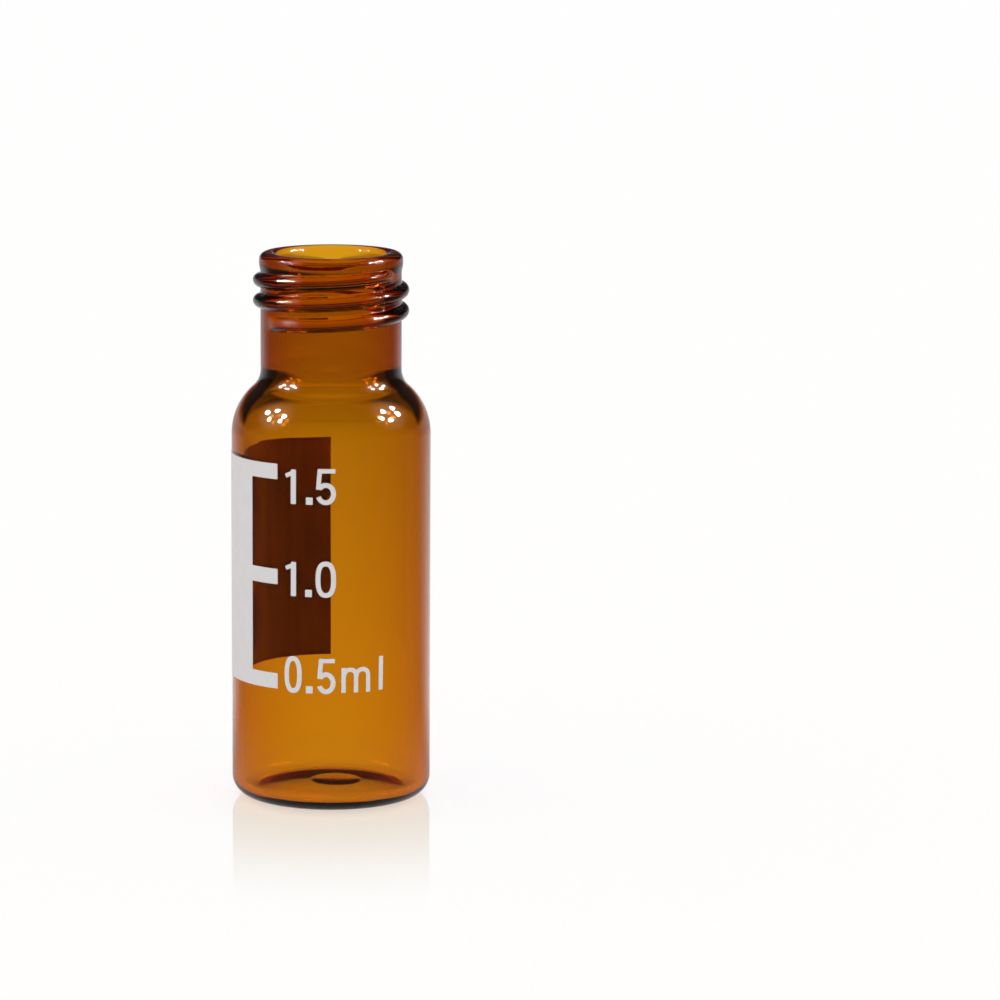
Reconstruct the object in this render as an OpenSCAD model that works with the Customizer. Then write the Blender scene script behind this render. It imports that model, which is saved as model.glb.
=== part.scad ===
// 2 ml screw-neck sample vial: formed from tubing glass, 12 x 32 mm, with a 9 mm short-thread
// neck and a white fired-on marking patch with three graduation marks.
// Frame: millimetres, +Z up, origin at the middle of the base. The marks face -Y.

/* [Body] */
// Outer diameter of the body
body_d = 11.6; // [10.8:0.1:16]
// Overall height, from the foot to the rim
height = 32; // [24:0.5:60]
// Height of the shoulder and neck together, from the straight body up to the rim
top_h = 10.6; // [9.6:0.1:12]
// Thickness of the body's wall
body_wall = 0.7; // [0.5:0.05:1.2]

/* [Base] */
// Radius of the round outer edge of the base
base_edge_r = 1.2; // [0.4:0.1:1.6]
// Width of the flat ring that the vial stands on
foot_w = 0.35; // [0.2:0.05:0.9]
// Height of the hollow under the base, at its middle
push_up = 0.45; // [0.2:0.05:0.5]
// Thickness of the floor where it meets the wall's round corner
floor_thick = 0.65; // [0.55:0.05:1.5]
// Radius of the cavity's round bottom corner
floor_edge_r = 0.5; // [0.4:0.1:2]
// Height of the floor's crown inside, at its middle
floor_crown = 0.35; // [0.2:0.05:0.6]
// Radius of the low nub under the floor, left where the tube was sealed
nub_r = 1.6; // [1:0.1:2]
// Height of the nub
nub_h = 0.15; // [0.06:0.01:0.18]
// How far the nub lies off the vial's middle, towards +X
nub_off = 0.4; // [0:0.1:0.8]

/* [Shoulder] */
// Radius of the shoulder's outer turn, out of the body
crown_r = 3.7; // [2:0.1:4.2]
// Radius of the outer turn from the shoulder into the neck
hollow_r = 1.3; // [0.6:0.1:2]
// Radius of the cavity's turn from the shoulder into the neck
hollow_inner_r = 1.9; // [1:0.1:2.6]

/* [Neck] */
// Diameter of the mouth, which keeps its size down the whole neck
mouth_d = 6.3; // [5:0.1:7.6]
// Thickness of the neck's wall
neck_wall = 0.95; // [0.75:0.05:1.2]
// How far the rim's bead stands out from the neck
rim_proud = 0.08; // [0.02:0.02:0.2]
// Height of the rim's bead
rim_h = 1; // [0.9:0.05:1.2]
// Radius of the bead's outer edges
rim_edge_r = 0.42; // [0.3:0.02:0.44]
// Radius of the mouth's edge
mouth_edge_r = 0.36; // [0.2:0.02:0.4]

/* [Thread] */
// How far the thread's crest stands out from the neck
thread_proud = 0.45; // [0.3:0.05:0.6]
// Rise of the thread in one full turn
thread_pitch = 1.2; // [1:0.05:1.4]
// Height of the ridge where it leaves the neck
ridge_h = 0.8; // [0.5:0.05:0.9]
// Angle that the whole ridge turns through, its tapered ends included
thread_turn = 860; // [400:10:900]
// Angle over which each end of the ridge sinks into the neck
thread_taper = 40; // [30:10:120]
// Depth from the rim to the middle of the ridge's top end
thread_depth = 1.05; // [1.05:0.05:1.6]
// Direction of the ridge's top end, from +X towards +Y
thread_end = 340; // [0:5:355]

/* [Scale] */
// Volume that each graduation mark adds, in cubic millimetres
mark_volume = 500; // [250:50:500]
// Number of graduation marks
mark_count = 3; // [1:1:6]
// Height above the foot at which the scale starts from nothing
scale_zero = 1.55; // [1.3:0.05:3]
// Height of a mark's line
mark_h = 0.9; // [0.3:0.05:1.2]
// Length of a mark's line, around the body
mark_w = 1.96; // [1:0.02:3]
// Width of the marking patch, around the body
patch_w = 13; // [4:0.1:14]
// Direction of the marks' free ends, from +X towards +Y
mark_end = 238; // [200:1:270]
// Thickness of the fired-on print
print_t = 0.03; // [0.02:0.01:0.05]

/* [Hidden] */
$fn = 96;

body_r = body_d / 2;
cavity_r = body_r - body_wall;
mouth_r = mouth_d / 2;
neck_r = mouth_r + neck_wall;
rim_r = neck_r + rim_proud;
body_top = height - top_h;
foot_r = body_r - base_edge_r - foot_w;
past_end = 1;

// The thread's ridge is swept in short steps. Its root is sunk in the neck's wall, its flanks
// leave the neck squarely, and its back is half an ellipse.
ridge_step = 10;
ridge_floor_r = neck_r - neck_wall / 3;
ridge_root_r = neck_r - neck_wall / 20;
ridge_rise = neck_r + thread_proud - ridge_root_r;
ridge_last = floor(thread_turn / ridge_step);
ridge_back = [for (a = [-90 : 22.5 : 90]) a];
ridge_corners = len(ridge_back) + 2;

// The marks stand as far apart as the cavity needs for their volumes, as many as the straight body
// has room for.
mark_rise = mark_volume / (PI * pow(cavity_r, 2));
marks = min(mark_count, floor((body_top - scale_zero - mark_h / 2) / mark_rise));
scale_bottom = scale_zero + mark_rise - mark_h / 2;
scale_top = scale_bottom + (marks - 1) * mark_rise + mark_h;

// Height of a shoulder made of two arcs that touch, from a body of one radius up to a neck of
// another. It is rounded down a hair, so that the arcs cross and don't just graze.
function shoulder_rise(r_body, r_neck, crown, hollow) =
    floor(1e4 * sqrt(pow(crown + hollow, 2) - pow(r_neck + hollow - r_body + crown, 2))) / 1e4;

// Radius of the ball that a cap of one radius and height is cut from
function ball_radius(r, h) = (pow(r, 2) + pow(h, 2)) / (2 * h);

// Angle that a width around the body takes up
function around(w) = w / body_r * 180 / PI;

// How far the ridge stands out at a turn, as a share of its full rise
function ridge_share(turn) = smooth(min(1, turn / thread_taper, (thread_turn - turn) / thread_taper));
function smooth(x) = x * x * (3 - 2 * x);

// One corner of the ridge's section, as its radius and its height above the ridge's middle
function ridge_corner(k, share) =
    k < len(ridge_back)
        ? [ridge_root_r + share * ridge_rise * cos(ridge_back[k]), ridge_h / 2 * sin(ridge_back[k])]
        : [ridge_floor_r, ridge_h / 2 * (k == len(ridge_back) ? 1 : -1)];

// Half section of a bottle: a body with a round bottom corner, a shoulder that leaves the body on
// one arc and meets the neck on another, and a straight neck.
module bottle_section(r_body, r_neck, corner, crown, hollow, z_bottom, z_body, z_top) {
    rise = shoulder_rise(r_body, r_neck, crown, hollow);
    crown_x = r_body - crown;
    hollow_x = r_neck + hollow;
    translate([0, z_bottom]) round_block(r_body, z_body - z_bottom, corner);
    translate([0, z_body]) {
        intersection() {
            translate([crown_x, 0]) circle(crown);
            square([r_body + past_end, rise]);
        }
        difference() {
            polygon([[0, 0], [crown_x, 0], [hollow_x, rise], [0, rise]]);
            translate([hollow_x, rise]) circle(hollow);
        }
        square([r_neck, z_top - z_body]);
    }
}

// Half section of a cylinder with a round lower edge
module round_block(r, h, corner) {
    translate([0, corner]) square([r, h - corner]);
    square([r - corner, h]);
    translate([r - corner, corner]) circle(corner);
}

// Half section of a cap cut from a ball, as wide and as high as stated
module cap_section(r, h) {
    ball_r = ball_radius(r, h);
    intersection() {
        translate([0, h - ball_r]) circle(ball_r);
        square([r + past_end, h + past_end]);
    }
}

// Half section of the nub under the floor, the lower end of a ball that is sunk in the glass
module nub_section() {
    ball_r = ball_radius(nub_r, nub_h);
    translate([0, push_up - nub_h]) intersection() {
        translate([0, ball_r]) circle(ball_r);
        square([ball_r, nub_h + floor_thick / 4]);
    }
}

// Half section of the rim's bead, round at both outer edges
module rim_section() {
    translate([0, rim_edge_r]) square([rim_r, rim_h - 2 * rim_edge_r]);
    square([rim_r - rim_edge_r, rim_h]);
    for (z = [rim_edge_r, rim_h - rim_edge_r]) translate([rim_r - rim_edge_r, z]) circle(rim_edge_r);
}

// What rounds the mouth's edge off, at the rim
module mouth_edge_section() {
    translate([mouth_r, -mouth_edge_r]) difference() {
        translate([-past_end, 0]) square([past_end + mouth_edge_r, mouth_edge_r + past_end]);
        translate([mouth_edge_r, 0]) circle(mouth_edge_r);
    }
}

module cavity_section() {
    difference() {
        bottle_section(cavity_r, mouth_r, floor_edge_r, crown_r - body_wall, hollow_inner_r,
            floor_thick, body_top, height + past_end);
        translate([0, floor_thick]) cap_section(cavity_r - floor_edge_r, floor_crown);
    }
}

module wall_section() {
    difference() {
        union() {
            bottle_section(body_r, neck_r, base_edge_r, crown_r, hollow_r, 0, body_top, height - rim_edge_r);
            translate([0, height - rim_h]) rim_section();
        }
        cavity_section();
        cap_section(foot_r, push_up);
        translate([0, height]) mouth_edge_section();
    }
}

// The ridge that winds round the neck, right-handed, with both ends sinking into the wall
module thread_ridge() {
    points = [
        for (i = [0 : ridge_last], k = [0 : ridge_corners - 1])
            let (
                turn = i * ridge_step,
                to_end = thread_turn - turn,
                angle = thread_end - to_end,
                corner = ridge_corner(k, ridge_share(turn)),
                z = height - thread_depth - to_end / 360 * thread_pitch
            )
            [corner[0] * cos(angle), corner[0] * sin(angle), z + corner[1]]
    ];
    sides = [
        for (i = [0 : ridge_last - 1], k = [0 : ridge_corners - 1])
            let (
                a = i * ridge_corners + k,
                b = i * ridge_corners + (k + 1) % ridge_corners
            )
            each [[a, b, a + ridge_corners], [b, b + ridge_corners, a + ridge_corners]]
    ];
    start = [for (k = [ridge_corners - 1 : -1 : 0]) k];
    end = [for (k = [0 : ridge_corners - 1]) ridge_last * ridge_corners + k];
    polyhedron(points, concat([start], sides, [end]));
}

module glass_vial() {
    color([0.62, 0.33, 0.02, 0.75]) {
        rotate_extrude() wall_section();
        translate([nub_off, 0]) rotate_extrude() nub_section();
        thread_ridge();
    }
}

// One field of print round the body, cut away between the marks, so that they stick out of the
// patch's upright edge
module printed_scale() {
    gap_start = mark_end - around(mark_w);
    color([0.93, 0.93, 0.95]) difference() {
        rotate([0, 0, gap_start - around(patch_w)])
            rotate_extrude(angle = around(patch_w + mark_w))
                translate([body_r, scale_bottom]) square([print_t, scale_top - scale_bottom]);
        for (i = [1 : 1 : marks - 1])
            rotate([0, 0, gap_start])
                translate([0, 0, scale_bottom + i * mark_rise])
                    mirror([0, 0, 1]) cube([body_d, body_d, mark_rise - mark_h]);
    }
}

glass_vial();
printed_scale();
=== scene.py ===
import math

import bpy
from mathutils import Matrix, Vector, noise


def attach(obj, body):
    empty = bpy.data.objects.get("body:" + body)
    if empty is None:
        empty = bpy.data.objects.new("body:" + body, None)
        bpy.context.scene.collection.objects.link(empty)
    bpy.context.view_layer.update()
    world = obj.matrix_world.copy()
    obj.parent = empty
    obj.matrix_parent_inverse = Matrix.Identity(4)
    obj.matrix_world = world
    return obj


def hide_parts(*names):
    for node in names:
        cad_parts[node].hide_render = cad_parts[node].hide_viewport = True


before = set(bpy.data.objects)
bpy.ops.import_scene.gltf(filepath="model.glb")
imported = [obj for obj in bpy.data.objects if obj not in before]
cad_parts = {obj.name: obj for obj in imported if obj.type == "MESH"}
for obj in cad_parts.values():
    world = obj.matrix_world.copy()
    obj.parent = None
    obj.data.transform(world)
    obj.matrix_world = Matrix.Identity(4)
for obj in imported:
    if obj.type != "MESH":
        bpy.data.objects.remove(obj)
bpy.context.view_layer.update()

MM = 0.001
TURN = 2 * math.pi

# The vial's form, in millimetres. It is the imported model's, apart from three things: the turns of the cavity's
# shoulder, the rim's soft rise out of the neck, and the thread's longer lower flank.
BODY_R, CAVITY_R, NECK_R, MOUTH_R, RIM_R = 5.8, 5.1, 4.1, 3.15, 4.18
HEIGHT, BODY_TOP = 32.0, 21.4
BASE_EDGE, FOOT_R, PUSH_UP = 1.2, 4.25, 0.45
FLOOR_Z, FLOOR_EDGE, FLOOR_CROWN = 0.65, 0.5, 0.35
NUB_R, NUB_H, NUB_OFF = 1.6, 0.15, 0.4
CROWN, HOLLOW, CROWN_IN, HOLLOW_IN = 3.7, 1.3, 2.9, 2.5
RIM_LOW, RIM_HIGH, RIM_EDGE, MOUTH_EDGE = 30.8, 31.4, 0.42, 0.36
THREAD = dict(turn=860, taper=40, pitch=1.2, end=340, depth=1.05, proud=0.4975, root=-0.0475,
              upper=0.4, lower=0.46)
THREAD_LOW, THREAD_HIGH = 27.4, 31.5
# How softly the thread and the nub run into the glass round them, and what is taken off for that
THREAD_SOFT, THREAD_EXTRA = 0.06, 0.014
NUB_SOFT, NUB_EXTRA = 0.03, 0.0015
# The inside of neck and shoulder is uneven by this much, from a height upwards
WAVE_DEEP, WAVE_FROM, WAVE_RISE = 0.014, 20.5, 3
SEGMENTS = 256

# The print: its rear and front faces' radii and its heights in millimetres, and its widths in radians
PRINT_IN, PRINT_OUT = BODY_R - 0.012, BODY_R + 0.022
MARKS, MARK_H = 3, 0.9
MARK_RISE = 500 / (math.pi * CAVITY_R ** 2)
SCALE_LOW = 1.55 + MARK_RISE - MARK_H / 2
MARK_END, MARK_W, PATCH_W = math.radians(238), 1.96 / BODY_R, 13 / BODY_R
MARK_COLUMNS, PATCH_COLUMNS, ROW_H = 8, 60, 0.45
STROKE = 0.29

# What the glass mirrors and bends: a table that dims with distance, and a room that darkens upwards
TABLE_NEAR, TABLE_FAR, TABLE_DIM = 15.0, 210.0, 0.57
SKY_LOW, SKY_HIGH, SKY_DARK = 0.0, 0.11, 0.02
# What the glass mirrors is brightest at the back, and dims towards the sides, by the bearing's cosine from +Y
BACK_FROM, BACK_TO, BACK_DIM = 0.42, 0.84, 0.18
# How bright the table close round the foot is in that mirror image, on every side, and how far it reaches
FOOT_GLOW, FOOT_GLOW_IN, FOOT_GLOW_OUT = 0.5, 10.0, 30.0
# How brightly the room lights matte surfaces
ROOM_LIGHT = 0.92
# How bright the table's painted glow is through a single wall, and how far to each side of the vial that holds
ONE_WALL_GLOW, ONE_WALL_IN, ONE_WALL_OUT = 1.05, 12.0, 30.0
# How much brighter the table's painted glow is under the foot, where the foot would shade it, and the two radii
# between which that ends
UNDER_FOOT_GLOW, UNDER_IN, UNDER_OUT = 1.2, 4.2, 6.0
# The table's mirror image of the vial, where it starts and ends, and its strength in red, green and blue
MIRROR, MIRROR_IN, MIRROR_OUT, MIRROR_TINT = 0.31, 4.0, 29.0, (0.5, 0.72, 1.0)
# The table's own glow as seen, as mirrored or bent by the glass, and as a lamp for matte surfaces; and how
# much of the lamps' light it scatters
TABLE_SEEN, TABLE_BENT, TABLE_LAMP, TABLE_MATTE = 0.715, 0.68, 0.6, 0.3
TABLE_R, TABLE_DROP = 3.0, 0.00001

# The lamps, in metres: a round cloth with a ring of bulbs before it. Each has a strength for what the glass
# mirrors and bends, and one for the light that it throws.
LAMP_AWAY, LAMP_AIM_Z = 0.6, 0.02
CLOTH_R, CLOTH_CORE, CLOTH_SEEN, CLOTH_LAMP = 0.3, 0.05, 3.5, 1.2
BULBS, BULB_R, BULB_RING, FIRST_BULB, BULB_AHEAD = 5, 0.034, (0.135, 0.078), 36, 0.01
BULB_SEEN, BULB_LAMP = 180, 720

CAMERA_AT, CAMERA_PITCH = (0, -292.9, 66.29), 9.47
LENS, SENSOR, SHIFT_X = 183.2, 36, 0.1689


# ---------------------------------------------------------------- materials

def new_material(name):
    mat = bpy.data.materials.new(name)
    mat.use_nodes = True
    nt = mat.node_tree
    nt.nodes.clear()
    return mat, nt


def node(nt, kind, **values):
    n = nt.nodes.new(kind)
    for k, v in values.items():
        if k in n.inputs.keys():
            n.inputs[k].default_value = v
        else:
            setattr(n, k, v)
    return n


def math_node(nt, op, a, b=None, clamp=False):
    n = nt.nodes.new("ShaderNodeMath")
    n.operation, n.use_clamp = op, clamp
    for i, v in enumerate((a, b)):
        if v is None:
            continue
        if isinstance(v, (int, float)):
            n.inputs[i].default_value = v
        else:
            nt.links.new(v, n.inputs[i])
    return n.outputs[0]


def object_mm(nt, scale=(1, 1, 1)):
    """Object coordinates in millimetres, stretched by scale."""
    tc = nt.nodes.new("ShaderNodeTexCoord")
    mp = node(nt, "ShaderNodeMapping")
    mp.inputs["Scale"].default_value = [s / MM for s in scale]
    nt.links.new(tc.outputs["Object"], mp.inputs["Vector"])
    return mp.outputs["Vector"]


def amber_glass():
    mat, nt = new_material("amber_glass")
    out = node(nt, "ShaderNodeOutputMaterial")
    bsdf = node(nt, "ShaderNodeBsdfPrincipled")
    bsdf.inputs["Base Color"].default_value = (1, 1, 1, 1)
    bsdf.inputs["Roughness"].default_value = 0.0
    bsdf.inputs["IOR"].default_value = 1.5
    bsdf.inputs["Transmission Weight"].default_value = 1.0
    bsdf.inputs["Specular Tint"].default_value = (0.35, 0.33, 0.3, 1)
    # fire polish: a thin sheen that mirrors the lamps
    bsdf.inputs["Coat Weight"].default_value = 0.03
    bsdf.inputs["Coat Roughness"].default_value = 0.04
    # faint draw lines and waves of the formed glass
    waves = node(nt, "ShaderNodeTexNoise", Scale=1.0, Detail=2.0, Roughness=0.5)
    nt.links.new(object_mm(nt, (0.9, 0.9, 0.35)), waves.inputs["Vector"])
    bump = node(nt, "ShaderNodeBump", Strength=0.035, Distance=0.1 * MM)
    nt.links.new(waves.outputs["Fac"], bump.inputs["Height"])
    nt.links.new(bump.outputs["Normal"], bsdf.inputs["Normal"])
    vol = node(nt, "ShaderNodeVolumeAbsorption")
    vol.inputs["Color"].default_value = (0.924, 0.772, 0.1, 1)
    vol.inputs["Density"].default_value = 5000.0
    nt.links.new(bsdf.outputs[0], out.inputs["Surface"])
    nt.links.new(vol.outputs[0], out.inputs["Volume"])
    return mat


def fired_ink(name, light, dark, roughness, streaks=1.0):
    """Ceramic ink fired on glass: matte, with a fine grain, and slightly uneven in tone. Streaks under 1
    draw its unevenness out upwards."""
    mat, nt = new_material(name)
    out = node(nt, "ShaderNodeOutputMaterial")
    bsdf = node(nt, "ShaderNodeBsdfPrincipled")
    bsdf.inputs["IOR"].default_value = 1.5
    bsdf.inputs["Specular IOR Level"].default_value = 0.05
    grain = node(nt, "ShaderNodeTexNoise", Scale=14.0, Detail=3.0, Roughness=0.6)
    patches = node(nt, "ShaderNodeTexNoise", Scale=1.3, Detail=2.0, Roughness=0.5)
    nt.links.new(object_mm(nt), grain.inputs["Vector"])
    nt.links.new(object_mm(nt, (1, 1, streaks)), patches.inputs["Vector"])
    both = math_node(nt, "ADD", math_node(nt, "MULTIPLY", grain.outputs["Fac"], 0.5),
                     math_node(nt, "MULTIPLY", patches.outputs["Fac"], 0.5))
    ramp = node(nt, "ShaderNodeValToRGB")
    ramp.color_ramp.elements[0].position, ramp.color_ramp.elements[1].position = 0.32, 0.68
    ramp.color_ramp.elements[0].color = (*dark, 1)
    ramp.color_ramp.elements[1].color = (*light, 1)
    nt.links.new(both, ramp.inputs[0])
    nt.links.new(ramp.outputs[0], bsdf.inputs["Base Color"])
    uneven = math_node(nt, "MULTIPLY", grain.outputs["Fac"], 0.15)
    nt.links.new(math_node(nt, "ADD", uneven, roughness - 0.07), bsdf.inputs["Roughness"])
    bump = node(nt, "ShaderNodeBump", Strength=0.25, Distance=0.02 * MM)
    nt.links.new(grain.outputs["Fac"], bump.inputs["Height"])
    nt.links.new(bump.outputs["Normal"], bsdf.inputs["Normal"])
    nt.links.new(bsdf.outputs[0], out.inputs["Surface"])
    return mat


# ---------------------------------------------------------------- the glass

def arc(cx, cz, r, a0, a1, n):
    """Points on an arc from angle a0 to a1, in degrees, without its first point."""
    return [(cx + r * math.cos(math.radians(a0 + (a1 - a0) * i / n)),
             cz + r * math.sin(math.radians(a0 + (a1 - a0) * i / n))) for i in range(1, n + 1)]


def smooth(t):
    """A soft step from 0 to 1."""
    return t * t * (3 - 2 * t)


def line(p, q, n):
    """Points on a straight line from p to q, without p."""
    return [(p[0] + (q[0] - p[0]) * i / n, p[1] + (q[1] - p[1]) * i / n) for i in range(1, n + 1)]


def shoulder(r_body, r_neck, crown, hollow):
    """Height of the neck arc's centre over the body, and the angle at which the two arcs meet."""
    rise = math.sqrt((crown + hollow) ** 2 - (r_neck + hollow - r_body + crown) ** 2)
    return rise, math.degrees(math.atan2(rise, r_neck + hollow - r_body + crown))


def cap(r, h, n):
    """A shallow dome from its middle out to radius r, where its height is nought."""
    ball = (r * r + h * h) / (2 * h)
    return [(r * i / n, h - ball + math.sqrt(ball * ball - (r * i / n) ** 2)) for i in range(1, n + 1)]


def outer_profile():
    pts = [(0.0, PUSH_UP)] + cap(FOOT_R - 0.06, PUSH_UP - 0.004, 34)
    pts += [(FOOT_R + 0.02, 0.0)] + line((FOOT_R + 0.02, 0), (BODY_R - BASE_EDGE, 0), 3)
    pts += arc(BODY_R - BASE_EDGE, BASE_EDGE, BASE_EDGE, -90, 0, 18)
    pts += line((BODY_R, BASE_EDGE), (BODY_R, BODY_TOP), 14)
    rise, meet = shoulder(BODY_R, NECK_R, CROWN, HOLLOW)
    pts += arc(BODY_R - CROWN, BODY_TOP, CROWN, 0, meet, 22)
    pts += arc(NECK_R + HOLLOW, BODY_TOP + rise, HOLLOW, 180 + meet, 180, 14)
    pts += line(pts[-1], (NECK_R, 27.5), 8)
    pts += line((NECK_R, 27.5), (NECK_R, RIM_LOW), 80)
    steps = 16
    for k in range(1, steps + 1):
        pts.append((NECK_R + (RIM_R - NECK_R) * smooth(k / steps), RIM_LOW + (RIM_HIGH - RIM_LOW) * k / steps))
    pts += arc(RIM_R - RIM_EDGE, HEIGHT - RIM_EDGE, RIM_EDGE, 0, 90, 14)
    return pts


def inner_profile():
    pts = line((RIM_R - RIM_EDGE, HEIGHT), (MOUTH_R + MOUTH_EDGE, HEIGHT), 3)
    pts += arc(MOUTH_R + MOUTH_EDGE, HEIGHT - MOUTH_EDGE, MOUTH_EDGE, 90, 180, 12)
    rise, meet = shoulder(CAVITY_R, MOUTH_R, CROWN_IN, HOLLOW_IN)
    pts += line(pts[-1], (MOUTH_R, BODY_TOP + rise), 30)
    pts += arc(MOUTH_R + HOLLOW_IN, BODY_TOP + rise, HOLLOW_IN, 180, 180 + meet, 18)
    pts += arc(CAVITY_R - CROWN_IN, BODY_TOP, CROWN_IN, meet, 0, 22)
    pts += line((CAVITY_R, BODY_TOP), (CAVITY_R, FLOOR_Z + FLOOR_EDGE), 14)
    pts += arc(CAVITY_R - FLOOR_EDGE, FLOOR_Z + FLOOR_EDGE, FLOOR_EDGE, 0, -84, 20)
    dome = [(r, FLOOR_Z + z) for r, z in cap(CAVITY_R - FLOOR_EDGE - 0.1, FLOOR_CROWN, 20)]
    return pts + dome[::-1] + [(0.0, FLOOR_Z + FLOOR_CROWN)]


def ridge(theta, z):
    """How far the thread stands out from the neck at an angle and a height."""
    out = 0.0
    for k in range(-3, 1):
        turn = THREAD["turn"] - THREAD["end"] + theta + 360 * (k + 1)
        if not 0 <= turn <= THREAD["turn"]:
            continue
        to_end = THREAD["turn"] - turn
        centre = HEIGHT - THREAD["depth"] - to_end / 360 * THREAD["pitch"]
        s = (z - centre) / THREAD["upper" if z > centre else "lower"]
        if abs(s) >= 1.5:
            continue
        share = smooth(max(0.0, min(1, turn / THREAD["taper"], to_end / THREAD["taper"])))
        h = THREAD["root"] + share * THREAD["proud"] * math.sqrt(max(0.0, 1 - s * s))
        out = max(out, (h + math.sqrt(h * h + THREAD_SOFT * THREAD_SOFT)) / 2 - THREAD_EXTRA)
    return max(0.0, out)


def nub(x, y, z):
    """How far the low nub under the floor reaches below the push-up, with its edge melted in."""
    ball = (NUB_R ** 2 + NUB_H ** 2) / (2 * NUB_H)
    bottom = PUSH_UP - NUB_H + ball - math.sqrt(max(0.0, ball ** 2 - (x - NUB_OFF) ** 2 - y ** 2))
    deep = z - bottom
    return max(0.0, (deep + math.sqrt(deep * deep + NUB_SOFT * NUB_SOFT)) / 2 - NUB_EXTRA)


def lathe(name, profile, seg, reshape=None, lower=None):
    """A closed mesh from a profile that starts and ends on the axis. reshape says how far outwards a ring's
    point moves, and lower how far down."""
    verts, faces = [], []
    rings = []
    for i, (r, z) in enumerate(profile):
        if r <= 1e-9:
            rings.append([len(verts)])
            verts.append((0, 0, (z - (lower(i, 0, 0, z) if lower else 0)) * MM))
            continue
        ring = []
        for j in range(seg):
            th = TURN * j / seg
            rr = r + (reshape(i, r, z, th) if reshape else 0)
            x, y = rr * math.cos(th), rr * math.sin(th)
            ring.append(len(verts))
            verts.append((x * MM, y * MM, (z - (lower(i, x, y, z) if lower else 0)) * MM))
        rings.append(ring)
    for a, b in zip(rings, rings[1:]):
        for j in range(seg):
            k = (j + 1) % seg
            if len(a) == 1:
                faces.append((a[0], b[k], b[j]))
            elif len(b) == 1:
                faces.append((a[j], a[k], b[0]))
            else:
                faces.append((a[j], a[k], b[k], b[j]))
    mesh = bpy.data.meshes.new(name)
    mesh.from_pydata(verts, [], faces)
    mesh.validate()
    for p in mesh.polygons:
        p.use_smooth = True
    obj = bpy.data.objects.new(name, mesh)
    bpy.context.scene.collection.objects.link(obj)
    return obj


def make_vial():
    outer, inner = outer_profile(), inner_profile()
    n_outer = len(outer)

    def reshape(i, r, z, th):
        deg = math.degrees(th)
        if i < n_outer:
            return max(0.0, NECK_R + ridge(deg, z) - r) if THREAD_LOW < z < THREAD_HIGH else 0.0
        # the inside of the formed neck and shoulder is slightly uneven
        lift = max(0.0, min(1.0, (z - WAVE_FROM) / WAVE_RISE))
        wave = noise.noise(Vector((1.3 * math.cos(th), 1.3 * math.sin(th), z * 0.8)))
        return WAVE_DEEP * lift * wave if z < HEIGHT - 0.5 else 0.0

    def lower(i, x, y, z):
        under_floor = i < n_outer and z < PUSH_UP + 0.01 and math.hypot(x, y) < FOOT_R - 0.5
        return nub(x, y, z) if under_floor else 0.0

    return lathe("vial_glass", outer + inner, SEGMENTS, reshape, lower)


# ---------------------------------------------------------------- the print

def on_body(r, th, z):
    return (r * math.cos(th) * MM, r * math.sin(th) * MM, z * MM)


def make_patch():
    """The marking patch with its marks: a thin field round the body, with gaps between the marks."""
    z_edges = []
    for i in range(MARKS):
        z_edges += [SCALE_LOW + i * MARK_RISE, SCALE_LOW + i * MARK_RISE + MARK_H]
    zs = []
    for a, b in zip(z_edges, z_edges[1:]):
        n = max(2, round((b - a) / ROW_H))
        zs += [a + (b - a) * k / n for k in range(n)]
    zs.append(z_edges[-1])
    inner_edge = MARK_END - MARK_W
    ths = [MARK_END - MARK_W * k / MARK_COLUMNS for k in range(MARK_COLUMNS)]
    ths += [inner_edge - PATCH_W * k / PATCH_COLUMNS for k in range(PATCH_COLUMNS + 1)]
    cols, rows = len(ths), len(zs)

    def filled(c, r):
        zm = (zs[r] + zs[r + 1]) / 2
        in_mark = any(a < zm < b for a, b in zip(z_edges[::2], z_edges[1::2]))
        return c >= MARK_COLUMNS or in_mark

    verts, faces, index = [], [], {}

    def vert(c, r, side):
        key = (c, r, side)
        if key not in index:
            index[key] = len(verts)
            verts.append(on_body(PRINT_OUT if side else PRINT_IN, ths[c], zs[r]))
        return index[key]

    cells = {(c, r) for c in range(cols - 1) for r in range(rows - 1) if filled(c, r)}
    backs = []
    for c, r in sorted(cells):
        faces.append((vert(c, r, 1), vert(c, r + 1, 1), vert(c + 1, r + 1, 1), vert(c + 1, r, 1)))
        backs.append(len(faces))
        faces.append((vert(c, r, 0), vert(c + 1, r, 0), vert(c + 1, r + 1, 0), vert(c, r + 1, 0)))
        for dc, dr, p, q in ((-1, 0, (c, r), (c, r + 1)), (1, 0, (c + 1, r + 1), (c + 1, r)),
                             (0, -1, (c + 1, r), (c, r)), (0, 1, (c, r + 1), (c + 1, r + 1))):
            if (c + dc, r + dr) not in cells:
                faces.append((vert(*p, 0), vert(*q, 0), vert(*q, 1), vert(*p, 1)))
    mesh = bpy.data.meshes.new("scale_print")
    mesh.from_pydata(verts, [], faces)
    mesh.validate()
    obj = bpy.data.objects.new("scale_print", mesh)
    bpy.context.scene.collection.objects.link(obj)
    # the rear faces take the second material, a darker copy of the ink that is painted shade
    for i in backs:
        mesh.polygons[i].material_index = 1
    return obj


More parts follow.
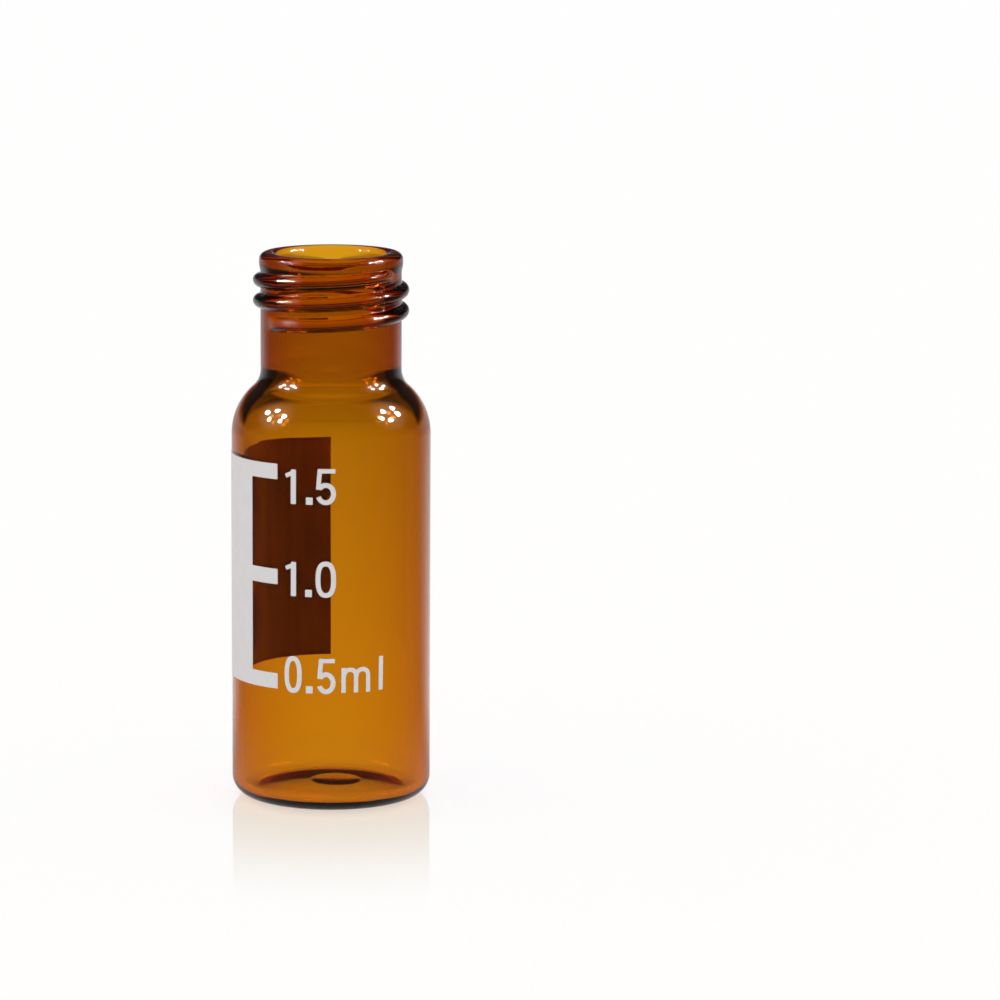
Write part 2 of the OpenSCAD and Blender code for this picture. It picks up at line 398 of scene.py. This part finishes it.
def stroke(path, width, lift=0.0):
    """A printed line along a path of (millimetres to the right round the body, height) points."""
    pts = [Vector(p) for p in path]
    n = len(pts)
    left = []
    for i, p in enumerate(pts):
        a = (p - pts[i - 1]).normalized() if i else None
        b = (pts[i + 1] - p).normalized() if i < n - 1 else None
        a, b = a or b, b or a
        na, nb = Vector((-a.y, a.x)), Vector((-b.y, b.x))
        m = (na + nb).normalized()
        left.append(m * (width / 2 / max(0.5, m.dot(na))))
    across = ((-1.0, 0.0), (-0.97, 0.6), (-0.8, 1.0), (0.0, 1.0), (0.8, 1.0), (0.97, 0.6), (1.0, 0.0))
    verts, faces = [], []
    k = len(across)
    for p, m in zip(pts, left):
        for s, up in across:
            q = p + m * s
            r = PRINT_IN + (PRINT_OUT + lift - PRINT_IN) * up
            verts.append(on_body(r, -math.pi / 2 + q.x / BODY_R, q.y))
    for i in range(n - 1):
        for j in range(k):
            a, b = i * k + j, i * k + (j + 1) % k
            faces.append((a, b, b + k, a + k))
    faces.append(tuple(range(k))[::-1])
    faces.append(tuple(range((n - 1) * k, n * k)))
    return verts, faces


def bow(cx, cz, rx, rz, a0, a1, n, square=1.0):
    """Points on an oval's stretch. A square under 1 fills the oval's corners out."""
    pts = []
    for i in range(n + 1):
        a = math.radians(a0 + (a1 - a0) * i / n)
        c, s = math.cos(a), math.sin(a)
        pts.append((cx + rx * math.copysign(abs(c) ** square, c),
                    cz + rz * math.copysign(abs(s) ** square, s)))
    return pts


def glyph(char, x, z, h, wide):
    """Strokes of a plain figure or letter whose lower left corner is at x, z, in millimetres: each a path and
    a width."""
    w = STROKE
    if char == "1":
        return [([(x + 0.51, z + h), (x + 0.5, z)], 0.33),
                ([(x + 0.03, z + h * 0.81), (x + 0.5, z + h * 0.905)], 0.25)]
    if char == "0":
        r = 0.54 * wide
        return [(bow(x + r, z + h / 2, r - w / 2, h / 2 - w / 2, 0, 360, 48, 0.8), w)]
    if char == "5":
        r = (0.53 - w / 2) * wide
        bar = [(x + 1.06 * wide, z + h - 0.13), (x + 0.27, z + h - 0.13), (x + 0.18, z + h * 0.43)]
        return [(bar, w * 0.92), (bow(x + 0.56 * wide, z + 0.65, r + 0.02, 0.65 - w / 2, 146, -160, 32), w)]
    if char == ".":
        return [([(x + 0.2, z), (x + 0.2, z + 0.42)], 0.41)]
    if char == "m":
        legs = [([(x + 0.14, z), (x + 0.14, z + h)], 0.26)]
        for c in (0.0, 0.73):
            arch = bow(x + 0.52 + c, z + h - 0.48, 0.35, 0.36, 150, 0, 10, 0.9)
            legs.append(([(x + 0.14 + c, z + h * 0.62)] + arch + [(x + 0.87 + c, z)], 0.26))
        return legs
    return [([(x + 0.16, z), (x + 0.19, z + h)], 0.28)]


def make_numbers():
    """Each mark's volume in millilitres, to the right of its free end."""
    # the row's height and width, and each character with its place, its height over the row and its own height
    rows = [
        (18.10, 1.1, [("1", -2.72, 0, 2.0), (".", -1.46, 0, 0), ("5", -0.92, -0.01, 2.1)]),
        (12.73, 1.1, [("1", -2.72, 0, 2.0), (".", -1.51, 0, 0), ("0", -0.90, -0.03, 2.12)]),
        (7.09, 1.0, [("0", -2.79, -0.04, 2.17), (".", -1.47, 0, 0), ("5", -0.85, -0.03, 2.08),
                     ("m", 0.58, 0.05, 1.46), ("l", 2.82, 0.1, 1.98)]),
    ]
    verts, faces = [], []
    lift = 0.0
    for z, wide, row in rows:
        for char, x, up, h in row:
            for path, width in glyph(char, x, z + up, h, wide):
                lift = (lift + 0.0004) % 0.002
                v, f = stroke(path, width, lift)
                faces += [tuple(i + len(verts) for i in face) for face in f]
                verts += v
    mesh = bpy.data.meshes.new("scale_numbers")
    mesh.from_pydata(verts, [], faces)
    mesh.validate()
    obj = bpy.data.objects.new("scale_numbers", mesh)
    bpy.context.scene.collection.objects.link(obj)
    return obj


# ---------------------------------------------------------------- the stage

def glow(name, camera, reflected, refracted, sheen):
    """An emission whose strength depends only on the kind of ray: seen by the camera, in a sharp reflection,
    through the glass, or as light on a soft surface."""
    mat, nt = new_material(name)
    out = node(nt, "ShaderNodeOutputMaterial")
    em = node(nt, "ShaderNodeEmission")
    sharp = nt.nodes.new("ShaderNodeLightPath").outputs["Is Singular Ray"]
    mirrored = map_range(nt, sharp, 0.0, 1.0, sheen, reflected)
    nt.links.new(ray_strength(nt, camera, mirrored, refracted, sheen), em.inputs["Strength"])
    nt.links.new(em.outputs[0], out.inputs["Surface"])
    return mat


def ray_strength(nt, camera, reflected, refracted, diffuse):
    """A value or socket for each kind of ray: the camera's, mirrored, passed through glass, and any other."""
    lp = nt.nodes.new("ShaderNodeLightPath")
    cam, gl, tr = (lp.outputs[k] for k in ("Is Camera Ray", "Is Glossy Ray", "Is Transmission Ray"))
    only_gl = math_node(nt, "SUBTRACT", gl, tr, clamp=True)
    other = 1.0
    for kind in (cam, only_gl):
        other = math_node(nt, "SUBTRACT", other, kind)
    other = math_node(nt, "SUBTRACT", other, tr, clamp=True)
    total = None
    for part, k in ((cam, camera), (only_gl, reflected), (tr, refracted), (other, diffuse)):
        term = math_node(nt, "MULTIPLY", part, k)
        total = term if total is None else math_node(nt, "ADD", total, term)
    return total


def toward_back(nt, vector):
    """What a direction keeps of the surroundings' mirrored light, by its bearing from +Y."""
    flat = node(nt, "ShaderNodeVectorMath", operation="MULTIPLY")
    flat.inputs[1].default_value = (1, 1, 0)
    nt.links.new(vector, flat.inputs[0])
    unit = node(nt, "ShaderNodeVectorMath", operation="NORMALIZE")
    nt.links.new(flat.outputs[0], unit.inputs[0])
    parts = nt.nodes.new("ShaderNodeSeparateXYZ")
    nt.links.new(unit.outputs[0], parts.inputs[0])
    return map_range(nt, parts.outputs["Y"], BACK_FROM, BACK_TO, BACK_DIM, 1.0, "SMOOTHSTEP")


def map_range(nt, value, a, b, to_a, to_b, kind="LINEAR"):
    n = node(nt, "ShaderNodeMapRange", interpolation_type=kind)
    for key, v in (("From Min", a), ("From Max", b), ("To Min", to_a), ("To Max", to_b)):
        if isinstance(v, (int, float)):
            n.inputs[key].default_value = v
        else:
            nt.links.new(v, n.inputs[key])
    nt.links.new(value, n.inputs["Value"])
    return n.outputs[0]


def make_world():
    world = bpy.data.worlds.new("studio")
    bpy.context.scene.world = world
    world.use_nodes = True
    nt = world.node_tree
    nt.nodes.clear()
    out = node(nt, "ShaderNodeOutputWorld")
    bg = node(nt, "ShaderNodeBackground")
    bg.inputs["Color"].default_value = (1, 1, 1, 1)
    tc = nt.nodes.new("ShaderNodeTexCoord")
    up = nt.nodes.new("ShaderNodeSeparateXYZ")
    nt.links.new(tc.outputs["Generated"], up.inputs[0])
    sky = map_range(nt, up.outputs["Z"], SKY_LOW, SKY_HIGH, TABLE_DIM, SKY_DARK, "SMOOTHSTEP")
    mirrored = math_node(nt, "MULTIPLY", sky, toward_back(nt, tc.outputs["Generated"]))
    # the table's own mirror image isn't as sharp as the glass's, and has white round it
    sharp = nt.nodes.new("ShaderNodeLightPath").outputs["Is Singular Ray"]
    mirrored = map_range(nt, sharp, 0.0, 1.0, 1.0, mirrored)
    nt.links.new(ray_strength(nt, 1.0, mirrored, sky, ROOM_LIGHT), bg.inputs["Strength"])
    nt.links.new(bg.outputs[0], out.inputs["Surface"])


def make_floor():
    """A white table that keeps the vial's shadow and a faint reflection of it."""
    bpy.ops.mesh.primitive_circle_add(vertices=96, radius=TABLE_R, fill_type="NGON",
                                      location=(0, 0, -TABLE_DROP))
    floor = bpy.context.object
    floor.name = "floor"
    mat, nt = new_material("floor")
    out = node(nt, "ShaderNodeOutputMaterial")
    tc = nt.nodes.new("ShaderNodeTexCoord")
    dist = node(nt, "ShaderNodeVectorMath", operation="LENGTH")
    nt.links.new(tc.outputs["Object"], dist.inputs[0])
    away = math_node(nt, "MULTIPLY", dist.outputs["Value"], 1 / MM)
    # painted light: in what the glass mirrors and bends, the table glows brighter under the foot, most of all
    # where the foot would shade it
    under = map_range(nt, away, UNDER_IN, UNDER_OUT, UNDER_FOOT_GLOW, 1.0, "SMOOTHSTEP")
    dim = math_node(nt, "MULTIPLY", under, map_range(nt, away, TABLE_NEAR, TABLE_FAR, 1.0, TABLE_DIM))
    facing_back = toward_back(nt, tc.outputs["Object"])
    mirrored = math_node(nt, "MULTIPLY", dim,
                         map_range(nt, away, FOOT_GLOW_IN, FOOT_GLOW_OUT, FOOT_GLOW, facing_back))
    # painted light: straight behind the mouth, where it's seen through one wall only, the table glows brighter
    parts = nt.nodes.new("ShaderNodeSeparateXYZ")
    nt.links.new(tc.outputs["Object"], parts.inputs[0])
    aside = math_node(nt, "ABSOLUTE", math_node(nt, "MULTIPLY", parts.outputs["X"], 1 / MM))
    depth = nt.nodes.new("ShaderNodeLightPath").outputs["Transmission Depth"]
    one_wall_glow_mask = math_node(nt, "MULTIPLY", map_range(nt, depth, 2.0, 3.0, 1.0, 0.0),
                         map_range(nt, aside, ONE_WALL_IN, ONE_WALL_OUT, 1.0, 0.0, "SMOOTHSTEP"))
    through = map_range(nt, one_wall_glow_mask, 0.0, 1.0, dim, ONE_WALL_GLOW)
    seen = ray_strength(nt, 1.0, mirrored, through, 1.0)
    # the mirror image fades with distance, and is weakest in red, so that it keeps the amber's warmth
    fade = math_node(nt, "MULTIPLY", map_range(nt, away, MIRROR_IN, MIRROR_OUT, MIRROR, 0.0, "SMOOTHSTEP"),
                     nt.nodes.new("ShaderNodeLightPath").outputs["Is Camera Ray"])
    mirror, own, lit = (node(nt, "ShaderNodeCombineColor") for _ in range(3))
    for i, share in enumerate(MIRROR_TINT):
        part = math_node(nt, "MULTIPLY", fade, share)
        rest = math_node(nt, "SUBTRACT", 1.0, part)
        nt.links.new(part, mirror.inputs[i])
        nt.links.new(rest, own.inputs[i])
        scattered = math_node(nt, "MULTIPLY", seen, TABLE_MATTE)
        nt.links.new(math_node(nt, "MULTIPLY", rest, scattered), lit.inputs[i])
    em = node(nt, "ShaderNodeEmission")
    nt.links.new(own.outputs[0], em.inputs["Color"])
    own_glow = ray_strength(nt, TABLE_SEEN, TABLE_BENT, TABLE_BENT, TABLE_LAMP)
    nt.links.new(math_node(nt, "MULTIPLY", own_glow, seen), em.inputs["Strength"])
    diff = node(nt, "ShaderNodeBsdfDiffuse")
    nt.links.new(lit.outputs[0], diff.inputs["Color"])
    gloss = node(nt, "ShaderNodeBsdfGlossy", Roughness=0.03)
    nt.links.new(mirror.outputs[0], gloss.inputs["Color"])
    total = em.outputs[0]
    for part in (diff, gloss):
        both = node(nt, "ShaderNodeAddShader")
        nt.links.new(total, both.inputs[0])
        nt.links.new(part.outputs[0], both.inputs[1])
        total = both.outputs[0]
    nt.links.new(total, out.inputs["Surface"])
    floor.data.materials.append(mat)


def lamp_cloth(name):
    """A lamp's diffusing cloth, which glows most in the middle and fades out towards its edge."""
    mat, nt = new_material(name)
    out = node(nt, "ShaderNodeOutputMaterial")
    tc = nt.nodes.new("ShaderNodeTexCoord")
    dist = node(nt, "ShaderNodeVectorMath", operation="LENGTH")
    nt.links.new(tc.outputs["Object"], dist.inputs[0])
    fade = map_range(nt, dist.outputs["Value"], CLOTH_CORE, CLOTH_R, 1.0, 0.0, "SMOOTHSTEP")
    em = node(nt, "ShaderNodeEmission")
    em.inputs["Color"].default_value = (1.0, 0.8, 0.62, 1)
    nt.links.new(ray_strength(nt, 0, CLOTH_SEEN, CLOTH_SEEN, CLOTH_LAMP), em.inputs["Strength"])
    clear = nt.nodes.new("ShaderNodeBsdfTransparent")
    both = node(nt, "ShaderNodeMixShader")
    nt.links.new(fade, both.inputs[0])
    nt.links.new(clear.outputs[0], both.inputs[1])
    nt.links.new(em.outputs[0], both.inputs[2])
    nt.links.new(both.outputs[0], out.inputs["Surface"])
    return mat


def facing(obj, at, towards):
    """Places an object, with its -Z towards a point."""
    obj.location = at
    obj.rotation_mode = "QUATERNION"
    obj.rotation_quaternion = (Vector(towards) - Vector(at)).to_track_quat("-Z", "Y")


def make_lamp(name, direction):
    """A cloth with a ring of bulbs before it, which the glass mirrors. It isn't seen by itself."""
    aim = (0, 0, LAMP_AIM_Z)
    at = Vector(direction).normalized() * LAMP_AWAY + Vector(aim)
    bulbs = glow(name + "_bulb", 0, BULB_SEEN, BULB_SEEN, BULB_LAMP)
    parts = [(CLOTH_R, (0, 0), lamp_cloth(name + "_cloth"), 0)]
    for k in range(BULBS):
        a = math.radians(FIRST_BULB + 360 / BULBS * k)
        parts.append((BULB_R, (BULB_RING[0] * math.cos(a), BULB_RING[1] * math.sin(a)), bulbs, BULB_AHEAD))
    for i, (radius, (dx, dy), mat, ahead) in enumerate(parts):
        bpy.ops.mesh.primitive_circle_add(vertices=32, radius=radius, fill_type="NGON")
        disc = bpy.context.object
        disc.name = f"{name}_{i}"
        facing(disc, at, aim)
        bpy.context.view_layer.update()
        disc.location = disc.matrix_world @ Vector((dx, dy, -ahead))
        disc.data.materials.append(mat)
        disc.visible_camera = False
        disc.visible_shadow = False
        # only the cloth lights matte surfaces
        disc.visible_diffuse = i == 0


def make_camera():
    cam_data = bpy.data.cameras.new("camera")
    cam = bpy.data.objects.new("camera", cam_data)
    bpy.context.scene.collection.objects.link(cam)
    cam.location = [c * MM for c in CAMERA_AT]
    cam.rotation_euler = (math.pi / 2 - math.radians(CAMERA_PITCH), 0, 0)
    cam_data.sensor_width = SENSOR
    cam_data.lens = LENS
    cam_data.shift_x = SHIFT_X
    cam_data.clip_start, cam_data.clip_end = 0.001, 20
    cam_data.dof.use_dof = False
    bpy.context.scene.camera = cam


# ---------------------------------------------------------------- the scene

glass = make_vial()
glass.data.materials.append(amber_glass())
patch = make_patch()
patch.data.materials.append(fired_ink("white_print", (0.71, 0.7, 0.705), (0.66, 0.65, 0.66), 0.55))
# painted shade: the print's rear faces, which lie on the glass, get a darker, greener copy of the white ink that
# stands in for the shade and tint they show through the amber
patch.data.materials.append(
    fired_ink("print_back_painted_shade", (0.42, 0.62, 0.43), (0.27, 0.4, 0.29), 0.6, streaks=0.06))
numbers = make_numbers()
numbers.data.materials.append(patch.data.materials[0])

for piece in (glass, patch, numbers):
    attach(piece, "root")
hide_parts("glass_vial")
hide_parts("printed_scale")

make_world()
make_floor()
make_lamp("lamp_left", (-0.84, -0.135, 0.55))
make_lamp("lamp_right", (0.85, -0.055, 0.56))
make_camera()

scene = bpy.context.scene
scene.view_settings.view_transform = "Standard"
scene.cycles.max_bounces = 24
scene.cycles.transmission_bounces = 24
scene.cycles.glossy_bounces = 12
